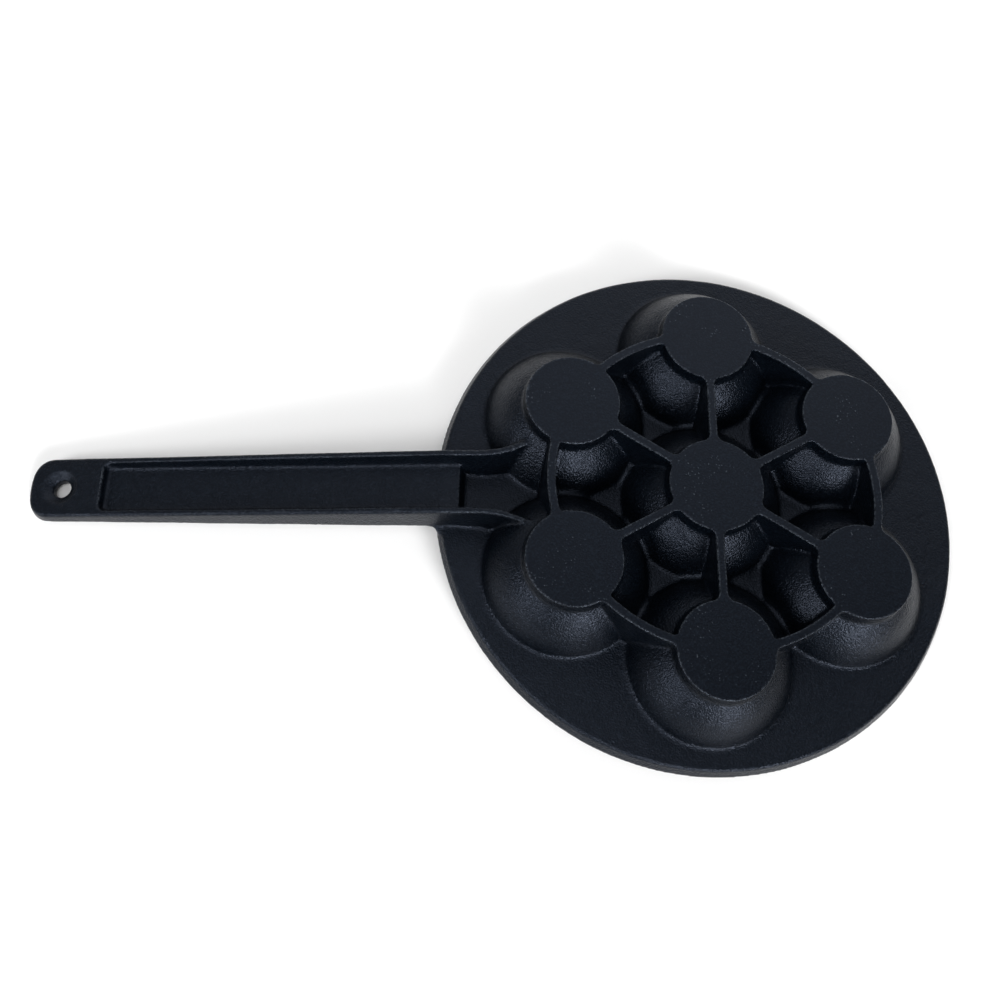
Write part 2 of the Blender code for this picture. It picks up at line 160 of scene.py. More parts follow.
paper = bpy.data.materials.new("white_paper")  # matt card, which gives a plain white with a soft shadow
paper.use_nodes = True
tree = paper.node_tree
shader = tree.nodes["Principled BSDF"]
shader.inputs["Base Color"].default_value = hex_colour(FLOOR_COLOUR)
shader.inputs["Roughness"].default_value = FLOOR_ROUGHNESS
shader.inputs["Emission Color"].default_value = (1, 1, 1, 1)
paths = add_node(tree, "ShaderNodeLightPath").outputs
mirrored = add_node(
    tree,
    "ShaderNodeMath",
    {0: paths["Is Glossy Ray"], 1: paths["Is Transmission Ray"]},
    operation="MAXIMUM",
)
seen = add_node(
    tree,
    "ShaderNodeMath",
    {0: paths["Is Camera Ray"], 1: mirrored.outputs[0]},
    operation="MAXIMUM",
)
lift = add_node(tree, "ShaderNodeMath", {0: seen.outputs[0], 1: FLOOR_LIFT}, operation="MULTIPLY")
tree.links.new(lift.outputs[0], shader.inputs["Emission Strength"])
floor_mesh = bpy.data.meshes.new("floor")
sheet = bmesh.new()
bmesh.ops.create_grid(sheet, x_segments=1, y_segments=1, size=FLOOR_SIZE / 2)
sheet.to_mesh(floor_mesh)
sheet.free()
floor_mesh.materials.append(paper)
floor = bpy.data.objects.new("floor", floor_mesh)
scene.collection.objects.link(floor)

# Plate
# The griddle plate that joins everything: a flat iron disc, a little wider at the cooking face, with a hole
# for each well. The casting is drawn as a foundry pattern first: closed solids that overlap where they join.

PLATE_RADIUS = 105.0  # at the underside
PLATE_THICKNESS = 5.2
PLATE_FLARE = 1.6
PLATE_EDGE_ROUND = 1.0
PLATE_HOLE_RADIUS = 29.5  # hidden in the wells' walls
OUTER_WELL_COUNT = 6
WELL_PITCH = 64.0  # from the middle well's axis to each outer well's axis
ROUND_STEPS = 120
ARC_STEPS = 12
SAME_POINT = 0.001  # points closer than this are one

well_angles = [math.tau / OUTER_WELL_COUNT * (k + 0.5) for k in range(OUTER_WELL_COUNT)]
well_places = [(0, 0)] + [(WELL_PITCH * math.cos(a), WELL_PITCH * math.sin(a)) for a in well_angles]
pattern = []


def solid_mesh(name, shape):
    """Closes a solid drawn with bmesh and returns it as a mesh with its faces pointing out."""
    bmesh.ops.remove_doubles(shape, verts=shape.verts, dist=SAME_POINT)
    bmesh.ops.recalc_face_normals(shape, faces=shape.faces)
    mesh = bpy.data.meshes.new(name)
    shape.to_mesh(mesh)
    shape.free()
    return mesh


def turned(name, points):
    """Turns a line of (radius, height) points, which starts and ends on the Z axis, into a solid."""
    shape = bmesh.new()
    line = [shape.verts.new((radius, 0, z)) for radius, z in points]
    edges = [shape.edges.new(pair) for pair in zip(line, line[1:])]
    bmesh.ops.spin(
        shape,
        geom=line + edges,
        cent=(0, 0, 0),
        axis=(0, 0, 1),
        angle=math.tau,
        steps=ROUND_STEPS,
        use_merge=True,
    )
    return solid_mesh(name, shape)


def arc(centre, radius, start, end):
    """Points on an arc between two angles, measured from straight up towards the outside."""
    angles = np.linspace(start, end, ARC_STEPS + 1)
    return [(centre[0] + radius * math.sin(a), centre[1] + radius * math.cos(a)) for a in angles]


def carved(mesh, *cutters):
    """A solid with other solids cut out of it."""
    block = bpy.data.objects.new(mesh.name, mesh)
    scene.collection.objects.link(block)
    helpers = []
    for cutter in cutters:
        helper = bpy.data.objects.new(cutter.name, cutter)
        scene.collection.objects.link(helper)
        helpers.append(helper)
        cut = block.modifiers.new(cutter.name, "BOOLEAN")
        cut.operation = "DIFFERENCE"
        cut.solver = "EXACT"
        cut.object = helper
    result = bpy.data.meshes.new_from_object(block.evaluated_get(bpy.context.evaluated_depsgraph_get()))
    for used in [block] + helpers:
        bpy.data.objects.remove(used)
    return result


def moved(mesh, place):
    """A copy of a solid at another place in the plan."""
    copy = mesh.copy()
    copy.transform(Matrix.Translation((*place, 0)))
    return copy


rim = PLATE_RADIUS + PLATE_FLARE
corner = PLATE_EDGE_ROUND
disc_profile = [(0, 0)] + arc((PLATE_RADIUS - corner, -corner), corner, 0, math.pi / 2)
disc_profile += arc((rim - corner, corner - PLATE_THICKNESS), corner, math.pi / 2, math.pi)
disc = turned("plate", disc_profile + [(0, -PLATE_THICKNESS)])
reach = 2 * PLATE_THICKNESS
opening = [(0, reach), (PLATE_HOLE_RADIUS, reach), (PLATE_HOLE_RADIUS, -reach), (0, -reach)]
pattern.append(carved(disc, *[moved(turned("opening", opening), place) for place in well_places]))

# Wells
# Seven half-round cups of one wall thickness for the batter. Seen from below each is a dome that runs into
# the plate with a small fillet and carries a round boss, which is ground flat after casting.

DOME_RADIUS = 34.47
DOME_CENTRE_HEIGHT = -11.50
DOME_FOOT_FILLET = 0.9
WELL_WALL = 4.5
NECK_RADIUS = 30.3  # where the well's wall meets the cooking face
BOSS_RADIUS = 18.6
BOSS_FOOT_RADIUS = 19.1
GRINDING_ALLOWANCE = 0.15  # stock on the bosses and ribs that the grinding takes off

raw_height = GROUND_HEIGHT + GRINDING_ALLOWANCE
dome_centre = (0, DOME_CENTRE_HEIGHT)
foot_rise = DOME_FOOT_FILLET - DOME_CENTRE_HEIGHT
foot_radius = math.sqrt((DOME_RADIUS + DOME_FOOT_FILLET) ** 2 - foot_rise**2)
foot_angle = math.atan2(foot_radius, foot_rise)
hollow_radius = DOME_RADIUS - WELL_WALL
mouth_angle = math.acos((-PLATE_THICKNESS - DOME_CENTRE_HEIGHT) / hollow_radius)
well_profile = [(0, raw_height), (BOSS_RADIUS, raw_height)]
well_profile += arc(dome_centre, DOME_RADIUS, math.asin(BOSS_FOOT_RADIUS / DOME_RADIUS), foot_angle)
well_profile += arc((foot_radius, DOME_FOOT_FILLET), DOME_FOOT_FILLET, math.pi + foot_angle, math.pi)
well_profile += [(foot_radius, -PLATE_THICKNESS / 2), (NECK_RADIUS, -PLATE_THICKNESS)]
well_profile += arc(dome_centre, hollow_radius, mouth_angle, 0)
pattern += [moved(turned("well", well_profile), place) for place in well_places]

# Ribs
# Thin webs that tie the wells together, six like spokes and six in a ring, as high as the bosses and ground
# with them. They have a little draft, and the spokes widen where they run into the middle boss.

RIB_TOP_WIDTH = 3.4
RIB_FOOT_WIDTH = 4.0
RIB_START_SHARE = 0.8  # of the boss's radius, so that a rib starts well inside it
SPOKE_FILLET = 3.0
RING_FILLET = 1.6
RIB_STEPS = 40
SADDLE_RADIUS = 2.0


def saddle_mesh():
    """The round fillet that fills the cleft between two domes, as a rolling ball leaves it."""
    path_radius = math.sqrt((DOME_RADIUS + SADDLE_RADIUS) ** 2 - (WELL_PITCH / 2) ** 2)
    half = SADDLE_RADIUS * WELL_PITCH / 2 / (DOME_RADIUS + SADDLE_RADIUS)
    heights = np.linspace(half, -half, ARC_STEPS)
    line = [(path_radius - math.sqrt(SADDLE_RADIUS**2 - height**2), height) for height in heights]
    spool = turned("saddle", [(0, half)] + line + [(0, -half)])
    spool.transform(Matrix.Translation((0, 0, DOME_CENTRE_HEIGHT)) @ Matrix.Rotation(math.pi / 2, 4, "Y"))
    low = -PLATE_THICKNESS / 2
    below = [(0, low), (WELL_PITCH, low), (WELL_PITCH, -WELL_PITCH), (0, -WELL_PITCH)]
    return carved(spool, turned("below", below))


def dome_middle(distance):
    """Height of the middle of a well's wall at a distance from the well's axis."""
    radius = DOME_RADIUS - WELL_WALL / 2
    return DOME_CENTRE_HEIGHT + math.sqrt(max(radius**2 - distance**2, 0))


def rib_half_width(distance, half_width, fillet):
    """Half of a rib's width at a distance from the nearer well's axis, with the fillet into the boss."""
    fillet_side = half_width + fillet
    fillet_centre = math.sqrt((BOSS_RADIUS + fillet) ** 2 - fillet_side**2)
    touching = fillet_centre * BOSS_RADIUS / (BOSS_RADIUS + fillet)
    within = min(fillet_centre - max(distance, touching), fillet)
    return fillet_side - math.sqrt(fillet**2 - max(within, 0) ** 2)


def rib(length, fillet, place):
    """A web between two wells, drawn along a line that the place function turns into a path."""
    shape = bmesh.new()
    sections = []
    start = BOSS_RADIUS * RIB_START_SHARE
    for x in np.linspace(start, length - start, RIB_STEPS + 1):
        distance = min(x, length - x)
        low = max(dome_middle(distance), -PLATE_THICKNESS / 2)
        foot_y = rib_half_width(distance, RIB_FOOT_WIDTH / 2, fillet)
        top_y = rib_half_width(distance, RIB_TOP_WIDTH / 2, fillet)
        section = [(-foot_y, low), (foot_y, low), (top_y, raw_height), (-top_y, raw_height)]
        sections.append([shape.verts.new((*place(x, y), z)) for y, z in section])
    shape.faces.new(sections[0])
    shape.faces.new(sections[-1])
    for section, after in zip(sections, sections[1:]):
        for k in range(len(section)):
            shape.faces.new((section[k], section[k - 1], after[k - 1], after[k]))
    return solid_mesh("rib", shape)


def spoke_place(angle):
    """The path of a spoke: straight out from the middle well."""
    return lambda x, y: (x * math.cos(angle) - y * math.sin(angle), x * math.sin(angle) + y * math.cos(angle))


def ring_place(angle):
    """The path of a ring rib: round the circle through the outer wells."""
    def place(x, y):
        turn = angle + x / WELL_PITCH
        return (WELL_PITCH - y) * math.cos(turn), (WELL_PITCH - y) * math.sin(turn)
    return place


arc_length = WELL_PITCH * math.tau / OUTER_WELL_COUNT
pattern += [rib(WELL_PITCH, SPOKE_FILLET, spoke_place(angle)) for angle in well_angles]
pattern += [rib(arc_length, RING_FILLET, ring_place(angle)) for angle in well_angles]
saddle = saddle_mesh()
chord = WELL_PITCH * math.cos(math.pi / OUTER_WELL_COUNT)
for angle in well_angles:
    along_spoke = Matrix.Rotation(angle, 4, "Z") @ Matrix.Translation((WELL_PITCH / 2, 0, 0))
    middle = angle + math.pi / OUTER_WELL_COUNT
    along_ring = Matrix.Rotation(middle, 4, "Z") @ Matrix.Translation((chord, 0, 0))
    for placing in (along_spoke, along_ring @ Matrix.Rotation(math.pi / 2, 4, "Z")):
        copy = saddle.copy()
        copy.transform(placing)
        pattern.append(copy)

# Handle
# A flat bar that falls away from the plate, with a long recess in its face between two low rails, a rounded
# end and a dished hole to hang the pan by. Its sides have draft, and it meets the plate's edge with fillets.

HANDLE_LENGTH = 161.4
HANDLE_ROOT_WIDTH = 26.0
HANDLE_END_WIDTH = 24.3
HANDLE_ROOT_RISE = 10.8
HANDLE_FALL = 31.3
HANDLE_ROOT_DEPTH = 13.1
HANDLE_END_DEPTH = 5.4
HANDLE_DRAFT = 0.11  # of the depth
HANDLE_ROOT_FILLET = 3.5
HANDLE_EDGE_ROUND = 0.9
EDGE_ROUND_STEPS = 3
EDGE_ROUND_PROFILE = 0.5  # a round one
SHARP_ANGLE = math.radians(40)  # an edge that turns by more than this is rounded
END_BOW = 9.0
END_ROUNDNESS = 0.8
RECESS_FROM_TIP = 28.4
RECESS_RAIL = 2.2
RECESS_CORNER = 2.5
RECESS_END_DEPTH = 3.0
RECESS_ROOT_DEPTH = 6.0
RECESS_DRAFT = 0.30  # of the depth
RECESS_OVER_PLATE = 13.0  # how far the recess runs in past the plate's edge
HOLE_FROM_TIP = 11.8
HOLE_RADIUS = 3.6
DISH_RADIUS = 7.0
DISH_DEPTH = 2.7
CUT_OVERRUN = 4.0

tip = -PLATE_RADIUS - HANDLE_LENGTH


def mix(start, end, share):
    return start + (end - start) * share


def root_share(x):
    """A place's share of the way from the tip to the plate's edge."""
    return (x - tip) / HANDLE_LENGTH


def face_height(x):
    return HANDLE_ROOT_RISE - HANDLE_FALL * (1 - root_share(x))


def half_width(x):
    return mix(HANDLE_END_WIDTH, HANDLE_ROOT_WIDTH, root_share(x)) / 2


def recess_depth(x):
    return mix(RECESS_END_DEPTH, RECESS_ROOT_DEPTH, root_share(x))


def handle_depth(x):
    return mix(HANDLE_END_DEPTH, HANDLE_ROOT_DEPTH, root_share(x))


def raised_ring(ring, height_at):
    """A ring in the plan, lifted to the height that a function gives along the handle."""
    return [(x, y, height_at(x)) for x, y in ring]


def lofted(name, lower, upper):
    """A solid between two rings of as many points."""
    shape = bmesh.new()
    bottom = [shape.verts.new(point) for point in lower]
    cover = [shape.verts.new(point) for point in upper]
    shape.faces.new(bottom)
    shape.faces.new(cover)
    for k in range(len(lower)):
        shape.faces.new((bottom[k - 1], bottom[k], cover[k], cover[k - 1]))
    return solid_mesh(name, shape)


def rounded(mesh, radius):
    """Rounds a solid's sharp edges."""
    shape = bmesh.new()
    shape.from_mesh(mesh)
    bmesh.ops.bevel(
        shape,
        geom=[edge for edge in shape.edges if edge.calc_face_angle() > SHARP_ANGLE],
        offset=radius,
        segments=EDGE_ROUND_STEPS,
        profile=EDGE_ROUND_PROFILE,
        affect="EDGES",
        clamp_overlap=True,
    )
    return solid_mesh(mesh.name, shape)


def root_fillet(side):
    """The web that rounds off the corner between the handle's side and the plate's edge."""
    side_y = half_width(-rim) + HANDLE_ROOT_DEPTH * HANDLE_DRAFT
    centre_y = side_y + HANDLE_ROOT_FILLET
    centre_x = -math.sqrt((rim + HANDLE_ROOT_FILLET) ** 2 - centre_y**2)
    touching = math.atan2(centre_y, -centre_x)
    outline = []
    for turn in np.linspace(-math.pi / 2, -touching, ARC_STEPS + 1):
        x = centre_x + HANDLE_ROOT_FILLET * math.cos(turn)
        outline.append((x, side * (centre_y + HANDLE_ROOT_FILLET * math.sin(turn))))
    inner_x = -rim + HANDLE_ROOT_FILLET
    outline += [(inner_x, outline[-1][1]), (inner_x, side * (side_y - HANDLE_ROOT_FILLET))]
    outline.append((outline[0][0], outline[-1][1]))
    lower = raised_ring(outline, lambda x: HANDLE_ROOT_RISE - HANDLE_ROOT_DEPTH)
    return lofted("root_fillet", lower, raised_ring(outline, lambda x: -PLATE_EDGE_ROUND))


def blank_ring(draft):
    """The handle's outline, let out by a share of the depth, from the lower root corner round the tip."""
    root_x = -rim + HANDLE_ROOT_FILLET
    root_y = half_width(root_x) + handle_depth(root_x) * draft
    end_y = half_width(tip) + HANDLE_END_DEPTH * draft
    bow = END_BOW + HANDLE_END_DEPTH * draft
    ends = []
    for turn in np.linspace(-math.pi / 2, math.pi / 2, 4 * ARC_STEPS + 1):
        out = bow * math.cos(turn) ** END_ROUNDNESS
        ends.append((tip + END_BOW - out, end_y * math.copysign(abs(math.sin(turn)) ** END_ROUNDNESS, turn)))
    return [(root_x, -root_y)] + ends + [(root_x, root_y)]


def recess_ring(draft, grow):
    """The recess's outline, drawn in by a share of its depth and let out by a length."""
    right = RECESS_OVER_PLATE - PLATE_RADIUS
    right_y = half_width(right) - RECESS_RAIL - recess_depth(right) * draft + grow
    left = tip + RECESS_FROM_TIP
    inset = recess_depth(left) * draft - grow
    corner_x = left + inset + RECESS_CORNER
    corner_y = half_width(left) - RECESS_RAIL - inset - RECESS_CORNER
    lower = [(right, -right_y)]
    for turn in np.linspace(0, math.pi / 2, ARC_STEPS + 1):
        lower.append((corner_x - RECESS_CORNER * math.sin(turn), -corner_y - RECESS_CORNER * math.cos(turn)))
    return lower + [(x, -y) for x, y in lower[::-1]]


blank = rounded(
    lofted(
        "handle",
        raised_ring(blank_ring(HANDLE_DRAFT), lambda x: face_height(x) - handle_depth(x)),
        raised_ring(blank_ring(0), face_height),
    ),
    HANDLE_EDGE_ROUND,
)
recess = lofted(
    "recess",
    raised_ring(recess_ring(RECESS_DRAFT, 0), lambda x: face_height(x) - recess_depth(x)),
    raised_ring(recess_ring(0, CUT_OVERRUN * RECESS_DRAFT), lambda x: face_height(x) + CUT_OVERRUN),
)
hole_x = tip + HOLE_FROM_TIP
slope = math.atan2(HANDLE_FALL, HANDLE_LENGTH)
square_to_face = Matrix.Translation((hole_x, 0, face_height(hole_x))) @ Matrix.Rotation(-slope, 4, "Y")
ball_radius = (DISH_RADIUS**2 + DISH_DEPTH**2) / (2 * DISH_DEPTH)
dish = turned("dish", arc((0, ball_radius - DISH_DEPTH), ball_radius, 0, math.pi))
dish.transform(square_to_face)
reach = HANDLE_ROOT_DEPTH
hole = turned("hole", [(0, reach), (HOLE_RADIUS, reach), (HOLE_RADIUS, -reach), (0, -reach)])
hole.transform(square_to_face)
pattern.append(carved(blank, recess, dish, hole))
pattern += [root_fillet(1), root_fillet(-1)]

# Handle root
# The handle's two rails run on over the plate, part and meet the nearest wells. Between them the recess's
# floor ends in a step down to the plate.

ROOT_REACH = 10.0  # from the plate's edge to the step's foot
ROOT_STEP_DRAFT = 2.6
RAIL_STRAIGHT = 14.0
RAIL_REACH = 36.0
RAIL_BEND_RADIUS = 40.0
RAIL_RISE = 0.13  # of the length
PLATE_OVERLAP = 1.0  # how deep the rails and the step are sunk into the plate


def rail_height(x):
    return HANDLE_ROOT_RISE + (x + PLATE_RADIUS) * RAIL_RISE


def rail_side(x):
    """How far a root rail's outer side is from the handle's middle line."""
    past = np.clip(x + PLATE_RADIUS - RAIL_STRAIGHT, 0, RAIL_REACH)
    return HANDLE_ROOT_WIDTH / 2 + RAIL_BEND_RADIUS - np.sqrt(RAIL_BEND_RADIUS**2 - past**2)


def rail_ring(side, depth):
    """Outline of a root rail at a depth below its top."""
    bend = np.linspace(RAIL_STRAIGHT - PLATE_RADIUS, RAIL_REACH - PLATE_RADIUS, ARC_STEPS + 1)
    places = [-PLATE_RADIUS] + list(bend)
    outer = [(x, side * (rail_side(x) + depth(x) * HANDLE_DRAFT)) for x in places]
    inner = [(x, side * (rail_side(x) - RECESS_RAIL - depth(x) * RECESS_DRAFT)) for x in places]
    return inner + outer[::-1]


def step_ring(end, height_at):
    """Outline of the step between the rails, from the plate's edge to its end."""
    y = HANDLE_ROOT_WIDTH / 2 - RECESS_RAIL / 2
    return raised_ring([(-PLATE_RADIUS, -y), (end, -y), (end, y), (-PLATE_RADIUS, y)], height_at)


well_inside = turned("well_inside", arc(dome_centre, DOME_RADIUS - WELL_WALL / 2, 0, math.pi))
for side in (1, -1):
    foot = raised_ring(rail_ring(side, rail_height), lambda x: -PLATE_OVERLAP)
    crest = raised_ring(rail_ring(side, lambda x: 0), rail_height)
    nearest = min(well_places, key=lambda place: math.dist(place, (-PLATE_RADIUS, side * WELL_PITCH / 2)))
    pattern.append(carved(lofted("root_rail", foot, crest), moved(well_inside, nearest)))
step_end = ROOT_REACH - PLATE_RADIUS
pattern.append(
    lofted(
        "step",
        step_ring(step_end, lambda x: -PLATE_OVERLAP),
        step_ring(step_end - ROOT_STEP_DRAFT, lambda x: rail_height(x) - recess_depth(x)),
    )
)

# Casting
# Sand casting makes one body of it all: inner corners fill out into soft fillets, outer corners are a
# little rounded, and no surface is quite even.

GRID = 0.6  # the skin's fineness
SKIN_PASSES = 8
SKIN_PULLS = (0.5, -0.52)  # by turns, in and out again, which smooths the skin and keeps its size
FILLET_PASSES = 6
FILLET_PULL = 0.5
UNEVENNESS = ((14.0, 0.10), (4.5, 0.035))  # (width, height) of the swells

shape = bmesh.new()
for mesh in pattern:
    shape.from_mesh(mesh)
joined = bpy.data.meshes.new("joined")
shape.to_mesh(joined)
shape.free()
body = bpy.data.objects.new("joined", joined)
scene.collection.objects.link(body)
union = body.modifiers.new("union", "REMESH")
union.mode = "VOXEL"
union.voxel_size = GRID
skin = bpy.data.meshes.new_from_object(body.evaluated_get(bpy.context.evaluated_depsgraph_get()))
bpy.data.objects.remove(body)
points = np.zeros(len(skin.vertices) * 3)
skin.vertices.foreach_get("co", points)
points = points.reshape(-1, 3)
corners = np.zeros(len(skin.loops), int)
skin.loops.foreach_get("vertex_index", corners)
quads = corners.reshape(-1, 4)
edges = np.zeros(len(skin.edges) * 2, int)
skin.edges.foreach_get("vertices", edges)
edges = edges.reshape(-1, 2)
neighbours = np.bincount(edges.ravel(), minlength=len(points))[:, None]


def gathered(owners, values):
    """Sums the values that belong to each point, where owners tells each value's point."""
    return np.stack([np.bincount(owners, column, len(points)) for column in values.T], axis=1)


def pull_to_neighbours():
    """From each point to the middle of its neighbours."""
    total = gathered(edges[:, 0], points[edges[:, 1]]) + gathered(edges[:, 1], points[edges[:, 0]])
    return total / neighbours - points


def outward():
    """The direction that each point faces."""
    first, second, third, fourth = (points[quads[:, k]] for k in range(4))
    across_faces = np.cross(third - first, fourth - second)
    total = sum(gathered(quads[:, k], across_faces) for k in range(4))
    return total / np.linalg.norm(total, axis=1, keepdims=True)


for k in range(SKIN_PASSES):
    points += pull_to_neighbours() * SKIN_PULLS[k % 2]
facing = outward()
for _ in range(FILLET_PASSES):
    pull = np.sum(pull_to_neighbours() * facing, axis=1, keepdims=True)
    points += facing * np.maximum(pull, 0) * FILLET_PULL
points += pull_to_neighbours() * FILLET_PULL
facing = outward()
swell = np.zeros(len(points))
for width, height in UNEVENNESS:
    swell += [noise.noise(Vector(point) / width) * height for point in points]
points += facing * swell[:, None]

# Grinding
# The bosses and ribs are ground off in one plane on a belt, which leaves thin crisp edges round the flats.
# The skin is divided where it passes the plane, and what stands above is brought down to it.

PLACE = slice(0, 3)  # columns of a vertex's row
FACING = slice(3, 6)
ROUNDING = 6  # how far it stands out from the middle of its neighbours, in millimetres

triangles = np.concatenate([quads[:, [0, 1, 2]], quads[:, [0, 2, 3]]])
facing = outward()
rounding = -np.sum(pull_to_neighbours() * facing, axis=1, keepdims=True)
vertices = np.hstack([points, facing, rounding])


def divide(vertices, triangles, field):
    """Cuts the triangles where a field passes zero, and tells which of them lie where it is positive."""
    inside = field > 0
    count = inside[triangles].sum(axis=1)
    mixed = (count == 1) | (count == 2)
    cut = triangles[mixed]
    lone_inside = count[mixed] == 1
    first = (inside[cut] == lone_inside[:, None]).argmax(axis=1)
    rows = np.arange(len(cut))
    lone, second, third = (cut[rows, (first + k) % 3] for k in range(3))
    ends = np.sort(np.concatenate([np.stack([lone, second], 1), np.stack([lone, third], 1)]), axis=1)
    pairs, which = np.unique(ends, axis=0, return_inverse=True)
    which = which.ravel()
    share = (field[pairs[:, 0]] / (field[pairs[:, 0]] - field[pairs[:, 1]]))[:, None]
    added = vertices[pairs[:, 0]] * (1 - share) + vertices[pairs[:, 1]] * share
    near = len(vertices) + which[:len(cut)]
    far = len(vertices) + which[len(cut):]
    pieces = [triangles[~mixed], np.stack([lone, near, far], 1)]
    pieces += [np.stack([near, second, third], 1), np.stack([near, third, far], 1)]
    positive = [count[~mixed] == 3, lone_inside, ~lone_inside, ~lone_inside]
    return np.vstack([vertices, added]), np.concatenate(pieces), np.concatenate(positive)


vertices, triangles, _ = divide(vertices, triangles, GROUND_HEIGHT - vertices[:, 2])
flat = vertices[:, 2] > GROUND_HEIGHT - SAME_POINT
vertices[flat, 2] = GROUND_HEIGHT
vertices[flat, FACING] = (0, 0, 1)

# Black iron
# Sand-cast grey iron, baked black with oil. The seasoning is a thin glassy film, so it shines like a weak
# lacquer over the sand's fine grain and is worn lighter along the outer corners.

SEASONED_COLOUR = "#020408"
DRY_COLOUR = "#0B1118"  # on the tops of the grain
DRY_GRAIN = (0.45, 0.70)  # levels of the grain's noise where this colour starts and is full
IRON_GLOSS_TINT = "#D4E2FF"
IRON_GLOSS = 0.25  # a full lacquer has 0.5
WORN_COLOUR = "#50565E"  # dull bare iron
WORN_MOST = 0.6
WORN_ROUNDING = (0.04, 0.085)  # how far a corner stands out where the wear starts and is full
WORN_GRAIN = (0.44, 0.58)  # only the tops of the grain wear, which breaks the lines into flecks
GRAIN_WIDTH = 0.7  # moulding sand is 0.2 to 0.3 mm, which is too fine to show, so it is drawn coarser
GRAIN_DETAIL = 2.0
LUMP_WIDTH = 2.4  # of the sand's unevenness
LUMP_DETAIL = 1.0
LUMP_SHARE = 0.4  # of the grain's height
MATT_LUMPS = (0.3, 0.7)  # levels of the lumps' noise where the skin is least and most matt
MATT_SPREAD = 0.04
PIT_SPACING = 9.0
PIT_SLOPE = (0.09, 0.04)  # of a spacing from a pit's middle to its rim and to its floor
PIT_DRAW = 0.8  # one place in five draws more than this and has a pit
PIT_DEPTH = 1.0  # times the grain's height
SPECK_WIDTH = 0.7
SPECK_LEVELS = (0.76, 0.82)
PATCH_WIDTH = 16.0  # the specks come in patches
PATCH_LEVELS = (0.54, 0.64)
CAST_ROUGHNESS = 0.28  # as cast, it gives a soft shine that the grain breaks into sparkles
CAST_GRAIN_HEIGHT = 0.33
GROUND_ROUGHNESS = 0.30  # as ground, it gives one even dark grey with a few bright specks
GROUND_GRAIN_HEIGHT = 0.08


